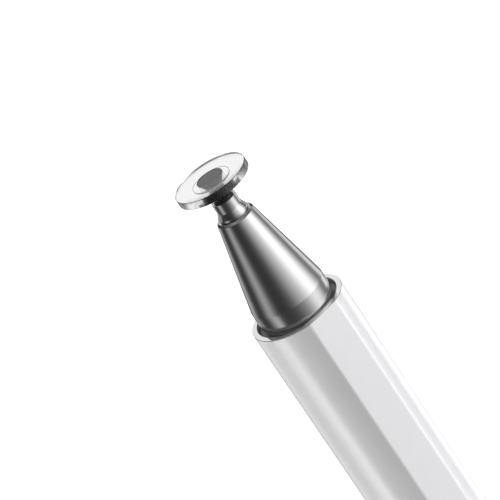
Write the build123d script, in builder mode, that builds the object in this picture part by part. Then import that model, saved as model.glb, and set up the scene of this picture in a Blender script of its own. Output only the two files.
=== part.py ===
"""Stylus pen with a clear disc nib on a ball joint.

Lengths are in millimetres. The pen stands on its flat tail at the origin,
+Z runs along its axis to the tip, and the barrel's flat side faces -Y.
"""
import os
from math import asin, cos, sin, sqrt

from build123d import *

os.makedirs("parts", exist_ok=True)

# Barrel: a round tube with one flat along its length
barrel_radius = 4.5
flat_distance = 4.18
flat_corner = 0.75
inner_corner = 0.2
barrel_length = 125.36
barrel_wall = 0.8
rim_width = 0.5
rim_flat_extra = 0.18
rim_edge = 0.03
mouth_depth = 1.0
seam_edge = 0.08

# Tail cap
tail_length = 5.0
tail_edge = 0.5
tail_spigot_length = 8.0
tail_bore_radius = 2.4
tail_floor = 2.0

# Front plug
recess_depth = 0.4
plug_length = 9.0
boss_radius = 3.3
nose_sink = 0.1

# Nose cone
band_radius = 3.57
band_bevel_width = 0.27
band_bevel_height = 0.3
crease_height = 1.77
nose_height = 10.6
nose_bevel = 0.2
nose_ring_width = 0.1
foot_seat_depth = 0.08
tap_depth = 3.3
nose_web = 1.2
nose_core_radius = 1.2
spigot_radius = 2.0
spigot_end_gap = 0.2
thread_lead = 0.25

# Nib collar: socket tube with a rolled lip, a flared foot and a threaded shank
lip_height_above_nose = 1.78
lip_radius = 1.19
lip_round = 0.04
lip_depth = 0.16
lip_dip = 0.08
waist_radius = 1.16
flare_start = 0.995
flare_end = 1.525
foot_radius = 1.42
foot_gap = 0.05
shank_radius = 1.28
shank_length = 2.9
pocket_depth = 4.28

# Ball joint
ball_radius = 0.98
ball_clearance = 0.03
ball_below_lip = 0.42
seat_clearance = 0.04
seat_rim_below_ball = 0.52
seat_floor = 0.45
seat_peg_radius = 0.45
seat_peg_length = 0.3

# Seat spring
spring_radius = 0.8
spring_wire_radius = 0.1
spring_wire_sides = 6
spring_half_turns = 7
spring_end_gap = 0.01

# Hub and disc
stem_radius = 0.42
neck_radius = 0.93
bead_radius = 1.05
bead_height = 0.1
bead_taper = 0.6
disc_play = 0.02
disc_radius = 3.45
disc_thickness = 0.76
disc_edge = 0.05
disc_back_above_lip = 1.5
disc_boss_radius = 1.8
disc_boss_height = 0.15
hub_clearance = 0.04
head_radius = 1.21
head_thickness = 0.25
pad_thickness = 0.15
pad_recess = 0.02

# Contact washer and lock nut
washer_thickness = 0.2
washer_radius = 3.1
leaf_count = 3
leaf_gap = 0.04
leaf_width = 1.6
leaf_length = 1.4
leaf_first_angle = 90
nut_radius = 3.2
nut_thickness = 2.0
nut_slot_width = 1.0
nut_slot_depth = 0.8

# Magnets and their carrier
carrier_gap = 0.3
carrier_half_depth = 0.8
rib_width = 1.4
magnet_count = 4
magnet_length = 14.0
magnet_width = 2.9
magnet_thickness = 1.4
pad_length = 2.0
pad_inset = 0.15

# Fits
fit_clearance = 0.03
thread_clearance = 0.03
magnet_clearance = 0.05

# Heights of the main faces above the tail
mouth_z = tail_length + barrel_length
nose_base_z = mouth_z - nose_sink
crease_z = mouth_z + crease_height
nose_top_z = mouth_z + nose_height
lip_z = nose_top_z + lip_height_above_nose
ball_z = lip_z - ball_below_lip
disc_back_z = lip_z + disc_back_above_lip
disc_front_z = disc_back_z + disc_thickness
disc_boss_z = disc_back_z - disc_boss_height
plug_end_z = mouth_z - plug_length
washer_end_z = plug_end_z - washer_thickness
nut_end_z = washer_end_z - nut_thickness
tail_spigot_z = tail_length + tail_spigot_length
carrier_start_z = tail_spigot_z + pad_length
carrier_end_z = nut_end_z - carrier_gap
socket_radius = ball_radius + ball_clearance
bore_inset = barrel_wall + fit_clearance


def d_outline(inset, flat_extra=0):
    """Draw the barrel's outline, moved inwards, in the line block in use."""
    radius = barrel_radius - inset
    flat = flat_distance - inset - flat_extra
    corner = max(flat_corner - inset, inner_corner)
    reach = radius - corner
    drop = flat - corner
    side = sqrt(reach * reach - drop * drop)
    turn = asin(side / reach)
    half_turn = turn / 2
    meet_x = radius * sin(turn)
    meet_y = -radius * cos(turn)
    mid_x = side + corner * sin(half_turn)
    mid_y = -drop - corner * cos(half_turn)
    Line((-side, -flat), (side, -flat))
    ThreePointArc((side, -flat), (mid_x, mid_y), (meet_x, meet_y))
    ThreePointArc((meet_x, meet_y), (0, radius), (-meet_x, meet_y))
    ThreePointArc((-meet_x, meet_y), (-mid_x, mid_y), (-side, -flat))


def level(height):
    """Plane square to the pen's axis at a height above the tail."""
    return Plane.XY.offset(height)


# Barrel, with its cut rim, its bore and the wider mouth
with BuildPart() as barrel:
    with BuildSketch(level(tail_length + seam_edge)):
        with BuildLine():
            d_outline(0)
        make_face()
    extrude(amount=barrel_length - seam_edge - rim_edge)
    with BuildSketch(level(mouth_z - rim_edge)):
        with BuildLine():
            d_outline(0)
        make_face()
    with BuildSketch(level(mouth_z)):
        with BuildLine():
            d_outline(rim_edge)
        make_face()
    loft(ruled=True)
    with BuildSketch(level(tail_length)):
        with BuildLine():
            d_outline(seam_edge)
        make_face()
    with BuildSketch(level(tail_length + seam_edge)):
        with BuildLine():
            d_outline(0)
        make_face()
    loft(ruled=True)
    with BuildSketch(level(tail_length)):
        with BuildLine():
            d_outline(barrel_wall)
        make_face()
    extrude(amount=barrel_length, mode=Mode.SUBTRACT)
    with BuildSketch(level(mouth_z - mouth_depth)):
        with BuildLine():
            d_outline(rim_width, rim_flat_extra)
        make_face()
    extrude(amount=mouth_depth, mode=Mode.SUBTRACT)
barrel.part.label = "barrel"
export_step(barrel.part, "parts/barrel.step")

# Tail cap: an outer cap that carries on the barrel's outline, and a hollow spigot
with BuildPart() as tail_cap:
    with BuildSketch(level(0)):
        with BuildLine():
            d_outline(0)
        make_face()
    extrude(amount=tail_length - seam_edge)
    chamfer(tail_cap.edges().group_by(Axis.Z)[0], tail_edge)
    with BuildSketch(level(tail_length - seam_edge)):
        with BuildLine():
            d_outline(0)
        make_face()
    with BuildSketch(level(tail_length)):
        with BuildLine():
            d_outline(seam_edge)
        make_face()
    loft(ruled=True)
    with BuildSketch(level(tail_length)):
        with BuildLine():
            d_outline(bore_inset)
        make_face()
    extrude(amount=tail_spigot_length)
    with BuildSketch(level(tail_floor)):
        Circle(tail_bore_radius)
    extrude(amount=tail_spigot_z - tail_floor, mode=Mode.SUBTRACT)
tail_cap.part.label = "tail_cap"
export_step(tail_cap.part, "parts/tail_cap.step")

# Front plug: flange on the floor of the mouth, body in the bore, boss under the nose
with BuildPart() as front_plug:
    with BuildSketch(level(mouth_z - mouth_depth)):
        with BuildLine():
            d_outline(rim_width + fit_clearance, rim_flat_extra)
        make_face()
    extrude(amount=mouth_depth - recess_depth)
    with BuildSketch(level(plug_end_z)):
        with BuildLine():
            d_outline(bore_inset)
        make_face()
    extrude(amount=plug_length - mouth_depth)
    with BuildSketch(level(mouth_z - recess_depth)):
        Circle(boss_radius)
    extrude(amount=recess_depth - nose_sink)
    with BuildSketch(level(plug_end_z)):
        Circle(spigot_radius + thread_clearance)
    extrude(amount=plug_length - nose_sink, mode=Mode.SUBTRACT)
front_plug.part.label = "front_plug"
export_step(front_plug.part, "parts/front_plug.step")

# Nose cone: turned cone with a band, a threaded spigot and a tapped top
tap_radius = shank_radius + thread_clearance
foot_seat_radius = foot_radius + foot_gap
nose_ring_radius = foot_seat_radius + nose_ring_width
nose_top_radius = nose_ring_radius + nose_bevel
foot_seat_z = nose_top_z - foot_seat_depth
tap_floor_z = nose_top_z - tap_depth
nose_core_z = tap_floor_z - nose_web
spigot_end_z = nut_end_z + spigot_end_gap
with BuildPart() as nose_cone:
    with BuildSketch(Plane.XZ):
        with BuildLine():
            Polyline(
                (0, nose_core_z),
                (nose_core_radius, nose_core_z),
                (nose_core_radius, spigot_end_z),
                (spigot_radius - thread_lead, spigot_end_z),
                (spigot_radius, spigot_end_z + thread_lead),
                (spigot_radius, nose_base_z),
                (band_radius - band_bevel_width, nose_base_z),
                (band_radius, nose_base_z + band_bevel_height),
                (band_radius, crease_z),
                (nose_top_radius, nose_top_z - nose_bevel),
                (nose_ring_radius, nose_top_z),
                (foot_seat_radius, nose_top_z),
                (foot_seat_radius, foot_seat_z),
                (tap_radius, foot_seat_z),
                (tap_radius, tap_floor_z),
                (0, tap_floor_z),
                close=True,
            )
        make_face()
    revolve(axis=Axis.Z)
nose_cone.part.label = "nose_cone"
export_step(nose_cone.part, "parts/nose_cone.step")

# Nib collar: thin socket that holds the ball under a lip rolled in and down
mouth_above_ball = ball_below_lip - lip_dip
collar_mouth_z = lip_z - lip_dip
collar_mouth_radius = sqrt(socket_radius * socket_radius - mouth_above_ball * mouth_above_ball)
socket_half_angle = asin(mouth_above_ball / socket_radius) / 2
socket_mid_radius = socket_radius * cos(socket_half_angle)
socket_mid_z = ball_z + socket_radius * sin(socket_half_angle)
shank_end_z = foot_seat_z - shank_length
pocket_floor_z = lip_z - pocket_depth
with BuildPart() as nib_collar:
    with BuildSketch(Plane.XZ):
        with BuildLine():
            Line((collar_mouth_radius, collar_mouth_z), (lip_radius - lip_round, lip_z))
            ThreePointArc(
                (lip_radius - lip_round, lip_z),
                (lip_radius, lip_z - lip_depth / 2),
                (waist_radius, lip_z - lip_depth),
            )
            Polyline(
                (waist_radius, lip_z - lip_depth),
                (waist_radius, lip_z - flare_start),
                (foot_radius, lip_z - flare_end),
                (foot_radius, foot_seat_z),
                (shank_radius, foot_seat_z),
                (shank_radius, shank_end_z + thread_lead),
                (shank_radius - thread_lead, shank_end_z),
                (0, shank_end_z),
                (0, pocket_floor_z),
                (socket_radius, pocket_floor_z),
                (socket_radius, ball_z),
            )
            ThreePointArc(
                (socket_radius, ball_z),
                (socket_mid_radius, socket_mid_z),
                (collar_mouth_radius, collar_mouth_z),
            )
        make_face()
    revolve(axis=Axis.Z)
nib_collar.part.label = "nib_collar"
export_step(nib_collar.part, "parts/nib_collar.step")

# Ball seat: cup that turns in the collar's bore under the ball
seat_radius = socket_radius - seat_clearance
seat_rim_z = ball_z - seat_rim_below_ball
seat_rim_radius = sqrt(socket_radius * socket_radius - seat_rim_below_ball * seat_rim_below_ball)
cup_half_angle = asin(seat_rim_radius / socket_radius) / 2
cup_mid_radius = socket_radius * sin(cup_half_angle)
cup_mid_z = ball_z - socket_radius * cos(cup_half_angle)
cup_floor_z = ball_z - socket_radius
seat_bottom_z = cup_floor_z - seat_floor
with BuildPart() as ball_seat:
    with BuildSketch(Plane.XZ):
        with BuildLine():
            Polyline(
                (0, cup_floor_z),
                (0, seat_bottom_z - seat_peg_length),
                (seat_peg_radius, seat_bottom_z - seat_peg_length),
                (seat_peg_radius, seat_bottom_z),
                (seat_radius, seat_bottom_z),
                (seat_radius, seat_rim_z),
                (seat_rim_radius, seat_rim_z),
            )
            ThreePointArc(
                (seat_rim_radius, seat_rim_z),
                (cup_mid_radius, cup_mid_z),
                (0, cup_floor_z),
            )
        make_face()
    revolve(axis=Axis.Z)
ball_seat.part.label = "ball_seat"
export_step(ball_seat.part, "parts/ball_seat.step")

# Seat spring: half turns on level ends, each a half circle that climbs in its own plane
spring_start_z = pocket_floor_z + spring_end_gap + spring_wire_radius
spring_rise = seat_bottom_z - spring_end_gap - spring_wire_radius - spring_start_z
spring_step = spring_rise / spring_half_turns
half_circle_radius = sqrt(spring_radius * spring_radius + spring_step * spring_step / 4)
with BuildPart() as seat_spring:
    with BuildLine():
        for turn_index in range(spring_half_turns):
            side_sign = 1 if turn_index % 2 == 0 else -1
            low_z = spring_start_z + turn_index * spring_step
            high_z = low_z + spring_step
            ThreePointArc(
                (side_sign * spring_radius, 0, low_z),
                (0, side_sign * half_circle_radius, (low_z + high_z) / 2),
                (-side_sign * spring_radius, 0, high_z),
            )
    with BuildSketch(Plane(origin=(spring_radius, 0, spring_start_z), z_dir=(0, 1, 0))):
        RegularPolygon(spring_wire_radius, spring_wire_sides)
    sweep()
seat_spring.part.label = "seat_spring"
export_step(seat_spring.part, "parts/seat_spring.step")

# Swivel hub: ball, slim stem, snap bead, neck and the head that holds the disc
counterbore_floor_z = disc_front_z - pad_recess - pad_thickness - head_thickness - disc_play
head_bottom_z = counterbore_floor_z + disc_play
head_top_z = head_bottom_z + head_thickness
bead_top_z = disc_boss_z - disc_play
bead_bottom_z = bead_top_z - bead_height
stem_foot_z = ball_z + sqrt(ball_radius * ball_radius - stem_radius * stem_radius)
with BuildPart() as swivel_hub:
    with BuildSketch(Plane.XZ):
        with BuildLine():
            ThreePointArc(
                (0, ball_z - ball_radius),
                (ball_radius, ball_z),
                (stem_radius, stem_foot_z),
            )
            Polyline(
                (stem_radius, stem_foot_z),
                (stem_radius, bead_bottom_z - bead_taper),
                (bead_radius, bead_bottom_z),
                (bead_radius, bead_top_z),
                (neck_radius, bead_top_z),
                (neck_radius, head_bottom_z),
                (head_radius, head_bottom_z),
                (head_radius, head_top_z),
                (0, head_top_z),
                (0, ball_z - ball_radius),
            )
        make_face()
    revolve(axis=Axis.Z)
swivel_hub.part.label = "swivel_hub"
export_step(swivel_hub.part, "parts/swivel_hub.step")

# Contact pad: conductive dot on the head of the hub
with BuildPart() as contact_pad:
    with BuildSketch(level(head_top_z)):
        Circle(head_radius)
    extrude(amount=pad_thickness)
contact_pad.part.label = "contact_pad"
export_step(contact_pad.part, "parts/contact_pad.step")

# Tip disc: clear disc with a boss, bored for the hub's neck and head
disc_hole_radius = neck_radius + hub_clearance
counterbore_radius = head_radius + hub_clearance
with BuildPart() as tip_disc:
    with BuildSketch(Plane.XZ):
        with BuildLine():
            Polyline(
                (disc_hole_radius, disc_boss_z),
                (disc_boss_radius, disc_boss_z),
                (disc_boss_radius, disc_back_z),
                (disc_radius - disc_edge, disc_back_z),
                (disc_radius, disc_back_z + disc_edge),
                (disc_radius, disc_front_z - disc_edge),
                (disc_radius - disc_edge, disc_front_z),
                (counterbore_radius, disc_front_z),
                (counterbore_radius, counterbore_floor_z),
                (disc_hole_radius, counterbore_floor_z),
                close=True,
            )
        make_face()
    revolve(axis=Axis.Z)
tip_disc.part.label = "tip_disc"
export_step(tip_disc.part, "parts/tip_disc.step")

# Contact washer: flat ring with leaves that press on the barrel's bore
bore_radius = barrel_radius - barrel_wall
leaf_corner = bore_radius - leaf_gap
leaf_outer = sqrt(leaf_corner * leaf_corner - leaf_width * leaf_width / 4)
leaf_middle = leaf_outer - washer_thickness / 2
arm_inner = washer_radius - washer_thickness
arm_middle = (arm_inner + leaf_outer) / 2
with BuildPart() as contact_washer:
    with BuildSketch(level(washer_end_z)):
        Circle(washer_radius)
        with PolarLocations(arm_middle, leaf_count, start_angle=leaf_first_angle):
            Rectangle(leaf_outer - arm_inner, leaf_width)
        Circle(spigot_radius + thread_clearance, mode=Mode.SUBTRACT)
    extrude(amount=washer_thickness)
    with BuildSketch(level(washer_end_z - leaf_length)):
        with PolarLocations(leaf_middle, leaf_count, start_angle=leaf_first_angle):
            Rectangle(washer_thickness, leaf_width)
    extrude(amount=leaf_length)
contact_washer.part.label = "contact_washer"
export_step(contact_washer.part, "parts/contact_washer.step")

# Lock nut: round nut with a driver slot across its rear face
with BuildPart() as lock_nut:
    with BuildSketch(level(nut_end_z)):
        Circle(nut_radius)
        Circle(spigot_radius + thread_clearance, mode=Mode.SUBTRACT)
    extrude(amount=nut_thickness)
    with BuildSketch(level(nut_end_z)):
        Rectangle(nut_slot_width, nut_radius * 2)
    extrude(amount=nut_slot_depth, mode=Mode.SUBTRACT)
lock_nut.part.label = "lock_nut"
export_step(lock_nut.part, "parts/lock_nut.step")

# Magnet carrier: cradle with a rib that props it against the far side of the bore
carrier_length = carrier_end_z - carrier_start_z
magnet_pitch = carrier_length / magnet_count
carrier_middle_z = (carrier_start_z + carrier_end_z) / 2
carrier_face = flat_distance - bore_inset
side_cut_width = barrel_radius - rib_width / 2
with BuildPart() as magnet_carrier:
    with BuildSketch(level(carrier_start_z)):
        with BuildLine():
            d_outline(bore_inset)
        make_face()
        for side_cut_sign in (-1, 1):
            side_cut_x = side_cut_sign * (rib_width + side_cut_width) / 2
            with Locations((side_cut_x, -carrier_half_depth)):
                Rectangle(
                    side_cut_width,
                    barrel_radius * 2,
                    align=(Align.CENTER, Align.MIN),
                    mode=Mode.SUBTRACT,
                )
    extrude(amount=carrier_length)
    with BuildSketch(Plane(origin=(0, -carrier_face, carrier_middle_z), x_dir=(1, 0, 0), z_dir=(0, -1, 0))):
        with GridLocations(0, magnet_pitch, 1, magnet_count):
            Rectangle(magnet_width + magnet_clearance * 2, magnet_length + magnet_clearance * 2)
    extrude(amount=-magnet_thickness - magnet_clearance, mode=Mode.SUBTRACT)
magnet_carrier.part.label = "magnet_carrier"
export_step(magnet_carrier.part, "parts/magnet_carrier.step")

# Magnets: bars that lie in the cradle's pockets, on their floors
magnet_floor = carrier_face - magnet_thickness - magnet_clearance
with BuildPart() as magnets:
    with BuildSketch(Plane(origin=(0, -magnet_floor, carrier_middle_z), x_dir=(1, 0, 0), z_dir=(0, -1, 0))):
        with GridLocations(0, magnet_pitch, 1, magnet_count):
            Rectangle(magnet_width, magnet_length)
    extrude(amount=magnet_thickness)
magnets.part.label = "magnets"
export_step(magnets.part, "parts/magnets.step")

# End pad: foam between the tail cap's spigot and the carrier
with BuildPart() as end_pad:
    with BuildSketch(level(tail_spigot_z)):
        with BuildLine():
            d_outline(bore_inset + pad_inset)
        make_face()
    extrude(amount=pad_length)
end_pad.part.label = "end_pad"
export_step(end_pad.part, "parts/end_pad.step")
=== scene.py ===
"""Looks of the stylus pen: white flat-sided barrel, turned steel nose, clear disc nib.

Lengths are in metres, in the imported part's frame: the pen stands on its tail at
the origin, +Z runs to the tip and the barrel's flat side faces -Y.
"""

from collections import namedtuple
from math import asin, atan2, ceil, cos, exp, pi, radians, sin, sqrt, tan

import bmesh
import bpy
from mathutils import Matrix, Vector


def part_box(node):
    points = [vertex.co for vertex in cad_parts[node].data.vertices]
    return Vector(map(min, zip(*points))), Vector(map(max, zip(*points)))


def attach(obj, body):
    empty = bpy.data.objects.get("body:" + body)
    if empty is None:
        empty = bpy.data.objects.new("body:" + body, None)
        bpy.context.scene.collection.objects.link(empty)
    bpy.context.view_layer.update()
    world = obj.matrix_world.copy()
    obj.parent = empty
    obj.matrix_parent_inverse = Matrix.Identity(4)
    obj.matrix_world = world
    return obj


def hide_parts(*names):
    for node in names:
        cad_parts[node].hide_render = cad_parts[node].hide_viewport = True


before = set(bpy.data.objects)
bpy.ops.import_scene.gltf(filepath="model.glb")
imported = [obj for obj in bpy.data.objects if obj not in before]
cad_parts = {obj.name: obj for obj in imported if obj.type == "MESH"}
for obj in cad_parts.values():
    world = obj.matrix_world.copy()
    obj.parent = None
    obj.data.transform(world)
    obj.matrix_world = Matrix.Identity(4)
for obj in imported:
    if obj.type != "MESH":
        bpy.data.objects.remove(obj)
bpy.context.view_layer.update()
scene = bpy.context.scene

MM = 0.001

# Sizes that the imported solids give
barrel_low, barrel_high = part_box("barrel")
tail_low, tail_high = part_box("tail_cap")
plug_low, plug_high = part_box("front_plug")
nose_low, nose_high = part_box("nose_cone")
collar_low, collar_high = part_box("nib_collar")
seat_low, seat_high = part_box("ball_seat")
spring_low, spring_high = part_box("seat_spring")
hub_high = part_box("swivel_hub")[1]
pad_low, pad_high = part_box("contact_pad")
disc_low, disc_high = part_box("tip_disc")

barrel_radius = barrel_high.x
flat_distance = -barrel_low.y
tail_joint_z = barrel_low.z
mouth_z = barrel_high.z
nose_base_z = plug_high.z
nose_top_z = nose_high.z
lip_z = collar_high.z

# Barrel and tail cap
flat_corner = 0.75 * MM
inner_corner = 0.2 * MM
barrel_wall = 0.8 * MM
rim_width = 0.5 * MM
rim_flat_extra = 0.18 * MM
rim_edge = 0.05 * MM
mouth_depth = 1.0 * MM
seam_edge = 0.08 * MM
tail_edge = 0.5 * MM
tail_edge_round = 0.25 * MM
tail_bore_radius = 2.4 * MM
tail_floor = 2.0 * MM
fit_clearance = 0.03 * MM
edge_break = 0.02 * MM

# Front plug
recess_depth = 0.4 * MM
boss_radius = 3.3 * MM
bore_radius = 2.03 * MM

# Nose cone
band_radius = nose_high.x
band_bevel_width = 0.2 * MM
band_bevel_height = 0.24 * MM
band_bevel_round = 0.25 * MM
crease_height = 1.77 * MM
nose_bevel = 0.2 * MM
nose_ring_radius = 1.57 * MM
foot_seat_radius = 1.47 * MM
foot_seat_depth = 0.08 * MM
tap_radius = 1.31 * MM
tap_depth = 3.3 * MM
nose_web = 1.2 * MM
nose_core_radius = 1.2 * MM
spigot_radius = 2.0 * MM
thread_lead = 0.25 * MM

# Nib collar
lip_radius = 1.17 * MM
lip_depth = 0.16 * MM
lip_dip = 0.08 * MM
waist_radius = 1.16 * MM
flare_start = 0.995 * MM
flare_end = 1.525 * MM
foot_radius = collar_high.x
shank_radius = 1.28 * MM
pocket_depth = 4.28 * MM

# Ball joint
ball_radius = 0.98 * MM
ball_clearance = 0.03 * MM
ball_below_lip = 0.42 * MM
seat_rim_below_ball = 0.52 * MM
seat_radius = seat_high.x
seat_floor = 0.45 * MM
seat_peg_radius = 0.45 * MM
socket_radius = ball_radius + ball_clearance
ball_z = lip_z - ball_below_lip

# Seat spring
spring_wire_radius = 0.1 * MM
spring_coil_radius = 0.8 * MM
spring_turns = 3.5

# Hub, pad and disc
stem_radius = 0.42 * MM
neck_radius = 0.93 * MM
bead_radius = 1.05 * MM
bead_height = 0.1 * MM
bead_taper = 0.6 * MM
disc_play = 0.02 * MM
head_radius = hub_high.x
head_thickness = 0.25 * MM
disc_radius = disc_high.x
disc_thickness = 0.76 * MM
disc_edge = 0.05 * MM
disc_boss_radius = 1.8 * MM
hub_clearance = 0.04 * MM

# How finely the curves are divided
TURN_STEPS = 160
FLAT_STEPS = 8
CORNER_STEPS = 14
ROUND_STEPS = 132
ARC_STEP = radians(9)
SPRING_STEPS = 40
WIRE_STEPS = 12
SHARP_ANGLE = radians(32)
WELD = 1e-8

# How a face is told by its normal: at least this share inwards or downwards, or at most
# this share along the axis
INWARD_SHARE = 0.5
DOWNWARD_SHARE = 0.05
BORE_SHARE = 0.5
EDGE_SHARE = 0.9

# Places of the colour sockets on a mix node
MIX_FIRST = 6
MIX_SECOND = 7
MIX_RESULT = 2

# How many finer layers the noise of a grain and of paper has
GRAIN_DETAIL = 3
PAPER_DETAIL = 2


def rounded(corners, loop=True):
    """Points of an outline whose corners are (across, height, rounding radius or nothing)."""
    points = []
    count = len(corners)
    for index, corner in enumerate(corners):
        here = Vector(corner[:2])
        radius = corner[2] if len(corner) > 2 else 0
        at_end = not loop and index in (0, count - 1)
        if not radius or at_end:
            points.append(here)
            continue
        back = (Vector(corners[index - 1][:2]) - here).normalized()
        ahead = (Vector(corners[(index + 1) % count][:2]) - here).normalized()
        half = back.angle(ahead) / 2
        centre = here + (back + ahead).normalized() * (radius / sin(half))
        first = here + back * (radius / tan(half)) - centre
        sweep = (pi - 2 * half) * (1 if back.cross(ahead) < 0 else -1)
        steps = max(2, ceil(abs(sweep) / ARC_STEP))
        for step in range(steps + 1):
            points.append(centre + Matrix.Rotation(sweep * step / steps, 2) @ first)
    return points


def arc(centre_z, radius, start, end):
    """Points of an arc about a centre on the axis, by its angle above the horizontal."""
    steps = ceil(abs(end - start) / ARC_STEP)
    angles = [start + (end - start) * step / steps for step in range(steps + 1)]
    return [(radius * cos(angle), centre_z + radius * sin(angle)) for angle in angles]


def round_ring(radius, height):
    """One ring of a turned piece."""
    angles = [2 * pi * step / TURN_STEPS for step in range(TURN_STEPS)]
    return [Vector((radius * cos(angle), radius * sin(angle), height)) for angle in angles]


def barrel_ring(inset, height, flat_extra=0):
    """The barrel's outline, a circle with one flat, moved inwards."""
    radius = barrel_radius - inset
    flat = flat_distance - inset - flat_extra
    corner = max(flat_corner - inset, inner_corner)
    reach = radius - corner
    drop = flat - corner
    side = sqrt(reach * reach - drop * drop)
    turn = asin(side / reach)
    ring = []
    for step in range(FLAT_STEPS):
        ring.append((-side * cos(pi * step / FLAT_STEPS), -flat))
    for step in range(CORNER_STEPS):
        angle = turn * step / CORNER_STEPS
        ring.append((side + corner * sin(angle), -drop - corner * cos(angle)))
    for step in range(ROUND_STEPS):
        angle = turn + 2 * (pi - turn) * step / ROUND_STEPS
        ring.append((radius * sin(angle), -radius * cos(angle)))
    for step in range(CORNER_STEPS):
        angle = turn * (step / CORNER_STEPS - 1)
        ring.append((-side + corner * sin(angle), -drop - corner * cos(angle)))
    return [Vector((x, y, height)) for x, y in ring]


def circle_in_barrel(radius, height):
    """A circle whose points face those of the barrel's outline."""
    ring = []
    for point in barrel_ring(0, height):
        angle = atan2(point.y, point.x)
        ring.append(Vector((radius * cos(angle), radius * sin(angle), height)))
    return ring


def skin(name, rings, loop=True):
    """A smooth piece through a row of rings, closed on itself or at the axis."""
    shell = bmesh.new()
    rows = [[shell.verts.new(point) for point in ring] for ring in rings]
    following = rows[1:] + rows[:1] if loop else rows[1:]
    for row, after in zip(rows, following):
        for index in range(len(row)):
            ahead = (index + 1) % len(row)
            face = shell.faces.new((row[index], row[ahead], after[ahead], after[index]))
            face.smooth = True
    bmesh.ops.remove_doubles(shell, verts=shell.verts, dist=WELD)
    bmesh.ops.recalc_face_normals(shell, faces=shell.faces)
    mesh = bpy.data.meshes.new(name)
    shell.to_mesh(mesh)
    shell.free()
    mesh.set_sharp_from_angle(angle=SHARP_ANGLE)
    piece = bpy.data.objects.new(name, mesh)
    scene.collection.objects.link(piece)
    return piece


def turned(name, outline, loop=True):
    """A lathe-turned piece from its outline of (radius, height) points."""
    return skin(name, [round_ring(radius, height) for radius, height in outline], loop)


def dress(piece, body, slot, nodes, *materials):
    """Give a piece its finish and its place in the frame."""
    for material in materials:
        piece.data.materials.append(material)
    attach(piece, body)
    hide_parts(*nodes)


def linear(code):
    """An sRGB hex colour as linear RGBA."""
    parts = [int(code[start:start + 2], 16) / 255 for start in (1, 3, 5)]
    return [c / 12.92 if c <= 0.04045 else ((c + 0.055) / 1.055) ** 2.4 for c in parts] + [1]


def add(tree, kind, sockets=None, **settings):
    """Add a node, with its settings, and set or link its inputs."""
    node = tree.nodes.new(kind)
    for key, value in settings.items():
        setattr(node, key, value)
    for key, value in (sockets or {}).items():
        if isinstance(value, bpy.types.NodeSocket):
            tree.links.new(value, node.inputs[key])
        else:
            node.inputs[key].default_value = value
    return node


def new_material(name):
    """An empty node material and its tree."""
    material = bpy.data.materials.new(name)
    material.use_nodes = True
    material.node_tree.nodes.clear()
    return material, material.node_tree


def surface(tree, shader):
    """Send a shader to the material's or the world's output."""
    of_world = tree.id_data == scene.world
    kind = "ShaderNodeOutputWorld" if of_world else "ShaderNodeOutputMaterial"
    add(tree, kind, {"Surface": shader})


def finish(name, dark, light, grain_mm, rough, relief_mm, stretch=(1, 1, 1), **constants):
    """A finish with a grain of a real size that shifts colour and roughness a little.

    dark and light are the hex colours that the grain runs between, rough the lowest
    and highest roughness, relief_mm the height of the grain and stretch its squeeze
    along x, y and z.
    """
    material, tree = new_material(name)
    place = add(tree, "ShaderNodeTexCoord").outputs["Object"]
    scale = [share / (grain_mm * MM) for share in stretch]
    place = add(tree, "ShaderNodeMapping", {"Vector": place, "Scale": scale}).outputs["Vector"]
    noise = {"Vector": place, "Scale": 1, "Detail": GRAIN_DETAIL}
    grain = add(tree, "ShaderNodeTexNoise", noise).outputs["Fac"]
    colours = {"Factor": grain, MIX_FIRST: linear(dark), MIX_SECOND: linear(light)}
    tint = add(tree, "ShaderNodeMix", colours, data_type="RGBA").outputs[MIX_RESULT]
    low, high = rough
    span = {"Value": grain, "To Min": low, "To Max": high}
    gloss = add(tree, "ShaderNodeMapRange", span).outputs["Result"]
    bump = add(tree, "ShaderNodeBump", {"Height": grain, "Distance": relief_mm * MM})
    sockets = {"Base Color": tint, "Roughness": gloss, "Normal": bump.outputs["Normal"]}
    sockets.update(constants)
    surface(tree, add(tree, "ShaderNodeBsdfPrincipled", sockets).outputs["BSDF"])
    return material


# Pearl white lacquer on an aluminium tube, sprayed: a bright soft reflection over
# a faintly cool white, with a slight ripple
white_lacquer = finish(
    "pearl_white_lacquer", "#e7e7e8", "#ebebec", 1.4, (0.14, 0.17), 0.0002,
    Metallic=0.35, IOR=1.5,
)

# Bare aluminium where the tube was cut with a diamond tool: a pale, clear mirror
cut_aluminium = finish(
    "diamond_cut_aluminium", "#e4e4e4", "#eaeaea", 0.12, (0.07, 0.1), 0.0, Metallic=0.78,
)

# Clear anodised inside of the tube's mouth, satin: its pale grey is partly painted light, made
# pale so that the shaded wall and its reflection in the nose's foot look lit
mouth_wall_painted_light = finish(
    "anodised_wall_painted_light", "#d0d0d0", "#dadada", 0.3, (0.4, 0.5), 0.001,
)

# Fine-turned stainless steel: grooves round the axis, drawn at 0.12 mm so that they show
turned_steel = finish(
    "turned_steel", "#c0c0c0", "#c6c6c6", 0.12, (0.13, 0.16), 0.0001, stretch=(0.01, 0.01, 1),
    Metallic=1.0,
)

# Tumbled edge of the nose's foot: the same steel, satin
tumbled_steel = finish(
    "tumbled_steel", "#c0c0c0", "#c6c6c6", 0.12, (0.6, 0.65), 0.0001, Metallic=1.0,
)

# Polished turned steel of the small socket: tighter reflections than the nose
polished_steel = finish(
    "polished_steel", "#c2c2c2", "#c8c8c8", 0.1, (0.11, 0.14), 0.0001, stretch=(0.01, 0.01, 1),
    Metallic=1.0,
)

# Clear moulded polycarbonate, polished: see-through with bright edges
clear_polycarbonate = finish(
    "clear_polycarbonate", "#f0f0f0", "#f4f4f4", 2.5, (0.05, 0.08), 0.0,
    IOR=1.58, **{"Transmission Weight": 1.0},
)

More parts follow.
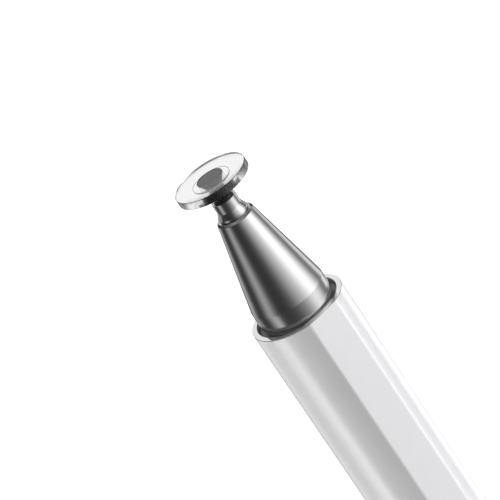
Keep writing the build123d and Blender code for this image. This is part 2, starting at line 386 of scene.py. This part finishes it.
# Edge of the clear disc as it leaves the mould: satin, so that it blurs what it bends
satin_polycarbonate = finish(
    "satin_polycarbonate", "#f0f0f0", "#f4f4f4", 2.5, (0.15, 0.18), 0.0,
    IOR=1.58, **{"Transmission Weight": 1.0},
)

# Black conductive moulding: satin, with a fine spark-eroded texture
black_moulding = finish(
    "black_moulding", "#0a0a0a", "#101010", 0.15, (0.34, 0.46), 0.001,
)

# Grey moulding of the plug, satin, dark but not black: partly its own dark grey, partly painted
# light, lightened so that the floor of the shaded recess looks lit
plug_grey_painted_light = finish(
    "dark_grey_moulding_painted_light", "#6c6c6c", "#767676", 0.15, (0.34, 0.46), 0.001,
)

# Conductive film on the hub's head: dark grey and flat
conductive_film = finish(
    "conductive_film", "#5e5e5e", "#696969", 0.25, (0.5, 0.6), 0.001,
)

# Gloss white moulding of the tail cap: matched to the lacquer's tone, a touch softer
white_moulding = finish(
    "white_moulding", "#d6d6d7", "#dbdbdc", 0.9, (0.2, 0.26), 0.0006,
)

# Turned brass: warm metal with grooves round the axis
turned_brass = finish(
    "turned_brass", "#c9a75c", "#d8b86c", 0.1, (0.22, 0.3), 0.0006, stretch=(0.02, 0.02, 1),
    Metallic=1.0,
)

# Stamped phosphor bronze: redder than brass, with rolling lines
spring_bronze = finish(
    "stamped_bronze", "#b98658", "#c79768", 0.2, (0.26, 0.36), 0.0006, stretch=(1, 0.05, 1),
    Metallic=1.0,
)

# Drawn spring wire: grey steel with faint lines from the die
spring_wire = finish(
    "drawn_spring_wire", "#a8a8aa", "#b6b6b8", 0.05, (0.26, 0.34), 0.0004, Metallic=1.0,
)

# Nickel plate over sintered magnets: bright with a slight pebble
nickel_plate = finish(
    "nickel_plate", "#c4c4c6", "#d0d0d2", 0.5, (0.18, 0.26), 0.001, Metallic=1.0,
)

# Grey moulded carrier: matt, with a fine erosion texture
grey_moulding = finish(
    "grey_moulding", "#8c8c8c", "#969696", 0.2, (0.5, 0.6), 0.002,
)

# Closed-cell foam: dull black with small cells
cell_foam = finish(
    "closed_cell_foam", "#262626", "#3a3a3a", 0.35, (0.85, 0.95), 0.05,
)

# Barrel: lacquered outside, bare at the cut rim, anodised inside in a pale grey that is partly
# painted light
outer_outline = rounded([
    (barrel_wall, tail_joint_z),
    (seam_edge, tail_joint_z, edge_break),
    (0, tail_joint_z + seam_edge, edge_break),
    (0, mouth_z - rim_edge, edge_break),
    (rim_edge, mouth_z, edge_break),
    (rim_width / 2, mouth_z),
], loop=False)
mouth_outline = rounded([
    (rim_width / 2, mouth_z),
    (rim_width, mouth_z, edge_break),
    (rim_width, mouth_z - mouth_depth),
], loop=False)
barrel_rings = [barrel_ring(inset, height) for inset, height in outer_outline]
barrel_rings += [barrel_ring(inset, height, rim_flat_extra) for inset, height in mouth_outline[1:]]
barrel_rings.append(barrel_ring(barrel_wall, mouth_z - mouth_depth))
barrel = skin("barrel_tube", barrel_rings)
# Faces inside the mouth take the wall finish, whose pale grey is partly painted light against the
# recess's shade
for face in barrel.data.polygons:
    reach = face.center.xy.length
    inside = face.normal.xy.dot(face.center.xy) < -INWARD_SHARE * reach
    on_rim = face.center.z > mouth_z - rim_edge - edge_break
    face.material_index = 2 if inside else 1 if on_rim else 0
dress(barrel, "pen", "white_lacquer", ["barrel"], white_lacquer, cut_aluminium, mouth_wall_painted_light)

# Tail cap: carries on the barrel's outline, with a hollow spigot in the bore
spigot_inset = barrel_wall + fit_clearance
tail_outline = rounded([
    (tail_edge, tail_low.z, tail_edge_round),
    (0, tail_low.z + tail_edge, tail_edge_round),
    (0, tail_joint_z - seam_edge, edge_break),
    (seam_edge, tail_joint_z, edge_break),
    (spigot_inset, tail_joint_z),
    (spigot_inset, tail_high.z, edge_break),
], loop=False)
tail_rings = [circle_in_barrel(0, tail_low.z)]
tail_rings += [barrel_ring(inset, height) for inset, height in tail_outline]
tail_rings += [
    barrel_ring(spigot_inset, tail_high.z),
    circle_in_barrel(tail_bore_radius, tail_high.z),
    circle_in_barrel(tail_bore_radius, tail_floor),
    circle_in_barrel(0, tail_floor),
]
tail_cap = skin("tail_plug", tail_rings, loop=False)
dress(tail_cap, "pen", "white_plastic", ["tail_cap"], white_moulding)

# Front plug: flange on the mouth's floor, boss under the nose, body in the bore
flange_inset = rim_width + fit_clearance
flange_top_z = mouth_z - recess_depth
flange_foot_z = mouth_z - mouth_depth
plug_rings = [
    circle_in_barrel(bore_radius, nose_base_z),
    circle_in_barrel(boss_radius, nose_base_z),
    circle_in_barrel(boss_radius, flange_top_z),
    barrel_ring(flange_inset, flange_top_z, rim_flat_extra),
    barrel_ring(flange_inset, flange_foot_z, rim_flat_extra),
    barrel_ring(spigot_inset, flange_foot_z),
    barrel_ring(spigot_inset, plug_low.z),
    circle_in_barrel(bore_radius, plug_low.z),
]
front_plug = skin("mouth_plug", plug_rings)
# The plug's grey is partly painted light that lifts the recess floor out of its shade
dress(front_plug, "pen", "black_plastic", ["front_plug"], plug_grey_painted_light)

# Nose cone: straight band, crease, long cone and the tapped top that takes the collar
tap_floor_z = nose_top_z - tap_depth
nose_core_z = tap_floor_z - nose_web
nose_cone = turned("turned_nose", rounded([
    (0, nose_core_z),
    (nose_core_radius, nose_core_z),
    (nose_core_radius, nose_low.z),
    (spigot_radius - thread_lead, nose_low.z),
    (spigot_radius, nose_low.z + thread_lead),
    (spigot_radius, nose_base_z),
    (band_radius - band_bevel_width, nose_base_z, edge_break),
    (band_radius, nose_base_z + band_bevel_height, band_bevel_round),
    (band_radius, mouth_z + crease_height, edge_break),
    (nose_ring_radius + nose_bevel, nose_top_z - nose_bevel, edge_break),
    (nose_ring_radius, nose_top_z, edge_break),
    (foot_seat_radius, nose_top_z, edge_break),
    (foot_seat_radius, nose_top_z - foot_seat_depth),
    (tap_radius, nose_top_z - foot_seat_depth),
    (tap_radius, tap_floor_z),
    (0, tap_floor_z),
], loop=False), loop=False)
foot_top_z = nose_base_z + band_bevel_height + band_bevel_round
for face in nose_cone.data.polygons:
    at_foot = nose_base_z < face.center.z < foot_top_z
    face.material_index = 1 if at_foot and face.normal.z < -DOWNWARD_SHARE else 0
dress(nose_cone, "pen", "turned_steel", ["nose_cone"], turned_steel, tumbled_steel)

# Nib collar: thin lip, straight waist and a foot that flares as a cone
foot_seat_z = nose_top_z - foot_seat_depth
mouth_above_ball = ball_below_lip - lip_dip
collar_mouth_radius = sqrt(socket_radius ** 2 - mouth_above_ball ** 2)
lip_outline = rounded([
    (collar_mouth_radius, lip_z - lip_dip),
    (lip_radius, lip_z, edge_break),
    (waist_radius, lip_z - lip_depth),
    (waist_radius, lip_z - flare_start, edge_break),
    (foot_radius, lip_z - flare_end, edge_break),
    (foot_radius, foot_seat_z),
], loop=False)
shank_outline = [
    (shank_radius, foot_seat_z),
    (shank_radius, collar_low.z + thread_lead),
    (shank_radius - thread_lead, collar_low.z),
    (0, collar_low.z),
]
socket_outline = [(0, lip_z - pocket_depth), (socket_radius, lip_z - pocket_depth)]
socket_outline += arc(ball_z, socket_radius, 0, asin(mouth_above_ball / socket_radius))
collar_outline = [*lip_outline, *shank_outline, *socket_outline]
nib_collar = turned("socket_collar", collar_outline)
dress(nib_collar, "pen", "collar_steel", ["nib_collar"], polished_steel)

# Ball seat: cup under the ball, with a peg for the spring
seat_rim_z = ball_z - seat_rim_below_ball
seat_foot_z = ball_z - socket_radius - seat_floor
cup_end = asin(seat_rim_below_ball / socket_radius)
ball_seat = turned("seat_cup", [
    (0, seat_low.z),
    (seat_peg_radius, seat_low.z),
    (seat_peg_radius, seat_foot_z),
    (seat_radius, seat_foot_z),
    (seat_radius, seat_rim_z),
    *arc(ball_z, socket_radius, -cup_end, -pi / 2),
], loop=False)
dress(ball_seat, "seat", "brass", ["ball_seat"], turned_brass)

# Swivel hub: ball, slim stem, snap bead, neck and head
bead_top_z = disc_low.z - disc_play
bead_foot_z = bead_top_z - bead_height
head_foot_z = hub_high.z - head_thickness
hub_outline = arc(ball_z, ball_radius, -pi / 2, pi / 2 - asin(stem_radius / ball_radius))
hub_outline += rounded([
    (stem_radius, bead_foot_z - bead_taper),
    (bead_radius, bead_foot_z, edge_break),
    (bead_radius, bead_top_z, edge_break),
    (neck_radius, bead_top_z),
    (neck_radius, head_foot_z),
    (head_radius, head_foot_z),
    (head_radius, hub_high.z),
    (0, hub_high.z),
], loop=False)
swivel_hub = turned("ball_hub", hub_outline, loop=False)
dress(swivel_hub, "hub", "black_plastic", ["swivel_hub"], black_moulding)

# Contact pad: the dark dot in the disc's face
contact_pad = turned("contact_dot", rounded([
    (0, pad_low.z),
    (pad_high.x, pad_low.z),
    (pad_high.x, pad_high.z, edge_break),
    (0, pad_high.z),
], loop=False), loop=False)
dress(contact_pad, "hub", "conductive_pad", ["contact_pad"], conductive_film)

# Tip disc: clear disc with a low boss on its back, bored for the hub
disc_back_z = disc_high.z - disc_thickness
disc_hole_radius = neck_radius + hub_clearance
counterbore_radius = head_radius + hub_clearance
counterbore_z = head_foot_z - disc_play
tip_disc = turned("clear_disc", rounded([
    (disc_hole_radius, disc_low.z),
    (disc_boss_radius, disc_low.z, disc_edge),
    (disc_boss_radius, disc_back_z),
    (disc_radius, disc_back_z, disc_edge),
    (disc_radius, disc_high.z, disc_edge),
    (counterbore_radius, disc_high.z),
    (counterbore_radius, counterbore_z),
    (disc_hole_radius, counterbore_z),
]))
for face in tip_disc.data.polygons:
    reach = face.center.xy.length
    lean = abs(face.normal.z)
    in_bore = face.normal.xy.dot(face.center.xy) < 0 and lean < BORE_SHARE
    on_edge = reach > disc_boss_radius + disc_edge and lean < EDGE_SHARE
    face.material_index = 1 if in_bore else 2 if on_edge else 0
dress(
    tip_disc, "disc", "clear_plastic", ["tip_disc"],
    clear_polycarbonate, black_moulding, satin_polycarbonate,
)


# Seat spring: a round wire that follows a spiral, by geometry nodes
def spring_tree():
    """Node tree of a coil spring with named sizes."""
    tree = bpy.data.node_groups.new("coil_spring", "GeometryNodeTree")
    sizes = {
        "Coil radius": spring_coil_radius,
        "Wire radius": spring_wire_radius,
        "Turns": spring_turns,
        "Rise": spring_high.z - spring_low.z - 2 * spring_wire_radius,
        "Foot": spring_low.z + spring_wire_radius,
    }
    for name, size in sizes.items():
        socket = tree.interface.new_socket(name, in_out="INPUT", socket_type="NodeSocketFloat")
        socket.default_value = size
    tree.interface.new_socket("Geometry", in_out="OUTPUT", socket_type="NodeSocketGeometry")
    given = add(tree, "NodeGroupInput").outputs
    spiral = add(tree, "GeometryNodeCurveSpiral", {
        "Resolution": SPRING_STEPS, "Rotations": given["Turns"], "Height": given["Rise"],
        "Start Radius": given["Coil radius"], "End Radius": given["Coil radius"],
    })
    foot = add(tree, "ShaderNodeCombineXYZ", {"Z": given["Foot"]})
    raised = add(tree, "GeometryNodeTransform", {
        "Geometry": spiral.outputs["Curve"], "Translation": foot.outputs["Vector"],
    })
    wire = add(tree, "GeometryNodeCurvePrimitiveCircle", {
        "Resolution": WIRE_STEPS, "Radius": given["Wire radius"],
    })
    coil = add(tree, "GeometryNodeCurveToMesh", {
        "Curve": raised.outputs["Geometry"], "Profile Curve": wire.outputs["Curve"],
        "Fill Caps": True,
    })
    whole = add(tree, "GeometryNodeRealizeInstances", {"Geometry": coil.outputs["Mesh"]})
    smooth = add(tree, "GeometryNodeSetShadeSmooth", {"Geometry": whole.outputs["Geometry"]})
    coated = add(tree, "GeometryNodeSetMaterial", {
        "Geometry": smooth.outputs["Geometry"], "Material": spring_wire,
    })
    add(tree, "NodeGroupOutput", {"Geometry": coated.outputs["Geometry"]})
    return tree


spring_seed = bpy.data.objects.new("spring_seed", bpy.data.meshes.new("spring_seed"))
scene.collection.objects.link(spring_seed)
winding = spring_seed.modifiers.new("winding", "NODES")
winding.node_group = spring_tree()
evaluated = spring_seed.evaluated_get(bpy.context.evaluated_depsgraph_get())
seat_spring = bpy.data.objects.new("coil_spring", bpy.data.meshes.new_from_object(evaluated))
bpy.data.objects.remove(spring_seed)
scene.collection.objects.link(seat_spring)
dress(seat_spring, "pen", "spring_steel", ["seat_spring"])

# Pieces inside the barrel keep their solids and get their finish
inner_finishes = {
    "contact_washer": spring_bronze,
    "lock_nut": turned_brass,
    "magnet_carrier": grey_moulding,
    "magnets": nickel_plate,
    "end_pad": cell_foam,
}
for node_name, material in inner_finishes.items():
    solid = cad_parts[node_name]
    solid.data.materials.clear()
    solid.data.materials.append(material)

# Camera: the photo looks down on the pen from its flat side, rolled so that it leans left.
# The lean is the way down the pen's axis in the photo, and the aim its mouth's middle there.
CAMERA_AZIMUTH = radians(-22.6)
CAMERA_ELEVATION = radians(23.6)
CAMERA_DISTANCE = 319 * MM
CAMERA_LENS = 265
SENSOR_WIDTH = 36
AXIS_LEAN = (0.5584, 0.8295)
PHOTO_WIDTH = 500
PIXELS_PER_METRE = 11.53 / MM
AIM_PIXEL = (297, 308)
AIM_BELOW_MOUTH = 0.091 * MM
aim_point = Vector((0, 0, mouth_z - AIM_BELOW_MOUTH))

level_right = Vector((cos(CAMERA_AZIMUTH), sin(CAMERA_AZIMUTH), 0))
toward_camera = Vector((
    sin(CAMERA_AZIMUTH) * cos(CAMERA_ELEVATION),
    -cos(CAMERA_AZIMUTH) * cos(CAMERA_ELEVATION),
    sin(CAMERA_ELEVATION),
))
level_up = toward_camera.cross(level_right)
camera_right = level_right * AXIS_LEAN[1] - level_up * AXIS_LEAN[0]
camera_up = level_right * AXIS_LEAN[0] + level_up * AXIS_LEAN[1]
aim_right = (AIM_PIXEL[0] - PHOTO_WIDTH / 2) / PIXELS_PER_METRE
aim_down = (AIM_PIXEL[1] - PHOTO_WIDTH / 2) / PIXELS_PER_METRE
eye = aim_point + toward_camera * CAMERA_DISTANCE
eye += camera_up * aim_down - camera_right * aim_right
camera_data = bpy.data.cameras.new("photo_camera")
camera_data.lens = CAMERA_LENS
camera_data.sensor_width = SENSOR_WIDTH
camera = bpy.data.objects.new("photo_camera", camera_data)
scene.collection.objects.link(camera)
turn = Matrix((camera_right, camera_up, toward_camera)).transposed()
camera.matrix_world = Matrix.Translation(eye) @ turn.to_4x4()
scene.camera = camera

# White surround: white to the eye, in reflections and through the clear disc
scene.view_settings.view_transform = "Standard"
scene.world = bpy.data.worlds.new("white_studio")
scene.world.use_nodes = True
studio = scene.world.node_tree
studio.nodes.clear()
AMBIENT = 0.49
FULL_WHITE = 1.0
ray = add(studio, "ShaderNodeLightPath").outputs
mirrored = add(studio, "ShaderNodeMath", {
    0: ray["Is Camera Ray"], 1: ray["Is Glossy Ray"],
}, operation="MAXIMUM").outputs[0]
shown = add(studio, "ShaderNodeMath", {
    0: mirrored, 1: ray["Is Transmission Ray"],
}, operation="MAXIMUM").outputs[0]
level = add(studio, "ShaderNodeMapRange", {
    "Value": shown, "To Min": AMBIENT, "To Max": FULL_WHITE,
}).outputs["Result"]
surface(studio, add(studio, "ShaderNodeBackground", {
    "Color": linear("#ffffff"), "Strength": level,
}).outputs["Background"])


def stage_set(name, corners, faces, material, *hidden_from):
    """A part of the studio, hidden from the named kinds of ray."""
    mesh = bpy.data.meshes.new(name)
    mesh.from_pydata(corners, [], faces)
    mesh.materials.append(material)
    piece = bpy.data.objects.new(name, mesh)
    for kind in hidden_from:
        setattr(piece, f"visible_{kind}", False)
    scene.collection.objects.link(piece)
    return piece


# Floor: white paper that keeps the pen's shadow. A glow makes it white to the eye, and
# reflections show the paper without the glow, so that the pale barrel doesn't clip.
FLOOR_HALF = 2.5
FLOOR_GLOW = 0.68
PAPER_FIBRE = 3 * MM
paper, paper_tree = new_material("white_paper_floor")
fibre_place = add(paper_tree, "ShaderNodeTexCoord").outputs["Object"]
fibre = add(paper_tree, "ShaderNodeTexNoise", {
    "Vector": fibre_place, "Scale": 1 / PAPER_FIBRE, "Detail": PAPER_DETAIL,
}).outputs["Fac"]
paper_tint = add(paper_tree, "ShaderNodeMix", {
    "Factor": fibre, MIX_FIRST: linear("#d6d6d6"), MIX_SECOND: linear("#dadada"),
}, data_type="RGBA").outputs[MIX_RESULT]
paper_ray = add(paper_tree, "ShaderNodeLightPath").outputs
paper_unseen = add(paper_tree, "ShaderNodeMath", {
    0: paper_ray["Is Diffuse Ray"], 1: paper_ray["Is Glossy Ray"],
}, operation="MAXIMUM").outputs[0]
paper_level = add(paper_tree, "ShaderNodeMath", {
    0: paper_unseen, 1: -FLOOR_GLOW, 2: FLOOR_GLOW,
}, operation="MULTIPLY_ADD").outputs[0]
paper_matt = add(paper_tree, "ShaderNodeBsdfDiffuse", {"Color": paper_tint})
paper_glow = add(paper_tree, "ShaderNodeEmission", {"Strength": paper_level})
surface(paper_tree, add(paper_tree, "ShaderNodeAddShader", {
    0: paper_matt.outputs["BSDF"], 1: paper_glow.outputs["Emission"],
}).outputs["Shader"])
corner_signs = ((-1, -1), (1, -1), (1, 1), (-1, 1))
floor_corners = [(x * FLOOR_HALF, y * FLOOR_HALF, 0) for x, y in corner_signs]
stage_set("paper_floor", floor_corners, [(0, 1, 2, 3)], paper)

# Tent round the pen, which only its reflections and the clear disc show: dark cloth, paler
# at the roof, with softboxes in it. A softbox has the angle of its middle, to the right from
# the camera's side, its half width, its level, its level well below the pen's mouth as a
# share of that, and the angles above the mouth where it starts and ends.
TENT_DISTANCE = 200 * MM
TENT_STEP = 2
TENT_CLOTH = 0.05
ROOF_CLOTH = 0.22
ROOF_START = 28
ROOF_FULL = 50
NEAR_HEIGHT = 2500 * MM
FAR_HEIGHT = 190 * MM
FAR_SIDE = 152
TENT_RISES = (-33, -28, -24, -20, -12, 0, 6, 12, 18, 24, 30, 36, 42, 50, 60, 75, 85)
SOFT_EDGE = 8
LOW_FULL = 24
GROUND = -60
Softbox = namedtuple("Softbox", "middle half_width level low_share start end")
softboxes = {
    "key": Softbox(66, 30, level=2.0, low_share=0.66, start=GROUND, end=40),
    "front": Softbox(22, 24, level=0.45, low_share=0.35, start=GROUND, end=40),
    "right_strip": Softbox(134, 14, level=0.85, low_share=1.5, start=GROUND, end=6),
    "left_strip": Softbox(-143, 16, level=0.78, low_share=0.5, start=GROUND, end=6),
    "fill": Softbox(-74, 16, level=0.48, low_share=1.0, start=GROUND, end=14),
    "fill_low": Softbox(-65, 9, level=0.3, low_share=1.0, start=GROUND, end=-18),
    "left_rear": Softbox(-120, 10, level=0.7, low_share=1.0, start=0, end=24),
    "rear": Softbox(180, 14, level=0.7, low_share=1.0, start=-20, end=24),
    "rear_low": Softbox(166, 12, level=1.0, low_share=1.0, start=GROUND, end=-22),
    "right_high": Softbox(142, 16, level=1.1, low_share=1.0, start=17, end=40),
}


def ramp(value, start, end):
    """How far a value has come from start to end, from 0 to 1."""
    return min(max((value - start) / (end - start), 0), 1)


def half_turn(angle):
    """An angle in degrees as one between -180 and 180."""
    return (angle + 180) % 360 - 180


def tent_glow(angle, rise):
    """Brightness of the tent at an angle round it and an angle above the mouth, in degrees."""
    glow = TENT_CLOTH + (ROOF_CLOTH - TENT_CLOTH) * ramp(rise, ROOF_START, ROOF_FULL)
    for box in softboxes.values():
        shade = 1 + (box.low_share - 1) * ramp(-rise, 0, LOW_FULL)
        shade *= ramp(rise, box.start, box.start + SOFT_EDGE)
        shade *= ramp(rise, box.end, box.end - SOFT_EDGE)
        glow += box.level * shade * exp(-(half_turn(angle - box.middle) / box.half_width) ** 2)
    return glow


def level_step(turn_angle, distance):
    """A level step away from the axis, at an angle to the right from the camera's side."""
    angle = radians(turn_angle) + CAMERA_AZIMUTH
    return Vector((sin(angle), -cos(angle), 0)) * distance


tent_corners = []
tent_glows = []
tent_faces = []
tent_rows = len(TENT_RISES)
tent_columns = 360 // TENT_STEP
for column in range(tent_columns):
    turn_angle = column * TENT_STEP
    tallest = FAR_HEIGHT if abs(half_turn(turn_angle)) > FAR_SIDE else NEAR_HEIGHT
    foot = level_step(turn_angle, TENT_DISTANCE)
    following = (column + 1) % tent_columns
    for row, rise in enumerate(TENT_RISES):
        height = min(max(mouth_z + TENT_DISTANCE * tan(radians(rise)), 0), tallest)
        tent_corners.append((foot.x, foot.y, height))
        tent_glows.append(tent_glow(turn_angle, rise))
        if row:
            here = column * tent_rows + row
            ahead = following * tent_rows + row
            tent_faces.append((here - 1, ahead - 1, ahead, here))
cloth, cloth_tree = new_material("tent_cloth")
cloth_glow = add(cloth_tree, "ShaderNodeAttribute", attribute_name="glow").outputs["Fac"]
cloth_light = add(cloth_tree, "ShaderNodeEmission", {"Strength": cloth_glow})
surface(cloth_tree, cloth_light.outputs["Emission"])
tent = stage_set("light_tent", tent_corners, tent_faces, cloth, "camera", "diffuse", "shadow")
tent.data.attributes.new("glow", "FLOAT", "POINT").data.foreach_set("value", tent_glows)

# White panel behind the pen, for the eye that looks through the clear disc
PANEL_HALF_ANGLE = 35
PANEL_DISTANCE = 195 * MM
panel_corners = []
for turn_angle in (180 - PANEL_HALF_ANGLE, 180 + PANEL_HALF_ANGLE):
    foot = level_step(turn_angle, PANEL_DISTANCE)
    panel_corners += [foot, foot + Vector((0, 0, FAR_HEIGHT))]
panel_paint, panel_tree = new_material("white_panel")
panel_light = add(panel_tree, "ShaderNodeEmission", {"Strength": FULL_WHITE})
surface(panel_tree, panel_light.outputs["Emission"])
stage_set(
    "white_panel", panel_corners, [(0, 2, 3, 1)], panel_paint,
    "camera", "diffuse", "glossy", "shadow",
)

# Soft lamps at both sides, so that the camera's side stays darker. The right one is cooler.
# A lamp has its angle to the right from the camera's side, its height in degrees, its
# power and its colour.
lamps = {
    "right_lamp": (98, 12, 5.3, "#fcfaff"),
    "left_lamp": (-84, 12, 3.4, "#ffffff"),
}
LAMP_DISTANCE = 0.7
LAMP_SIZE = 0.45
for name, (azimuth, elevation, power, tint) in lamps.items():
    lamp_data = bpy.data.lights.new(name, "AREA")
    lamp_data.energy = power
    lamp_data.color = linear(tint)[:3]
    lamp_data.size = LAMP_SIZE
    lamp = bpy.data.objects.new(name, lamp_data)
    lift = radians(elevation)
    away = level_step(azimuth, cos(lift)) + Vector((0, 0, sin(lift)))
    lamp.location = aim_point + away * LAMP_DISTANCE
    lamp.rotation_euler = away.to_track_quat("Z", "Y").to_euler()
    lamp.visible_glossy = False
    lamp.visible_transmission = False
    scene.collection.objects.link(lamp)
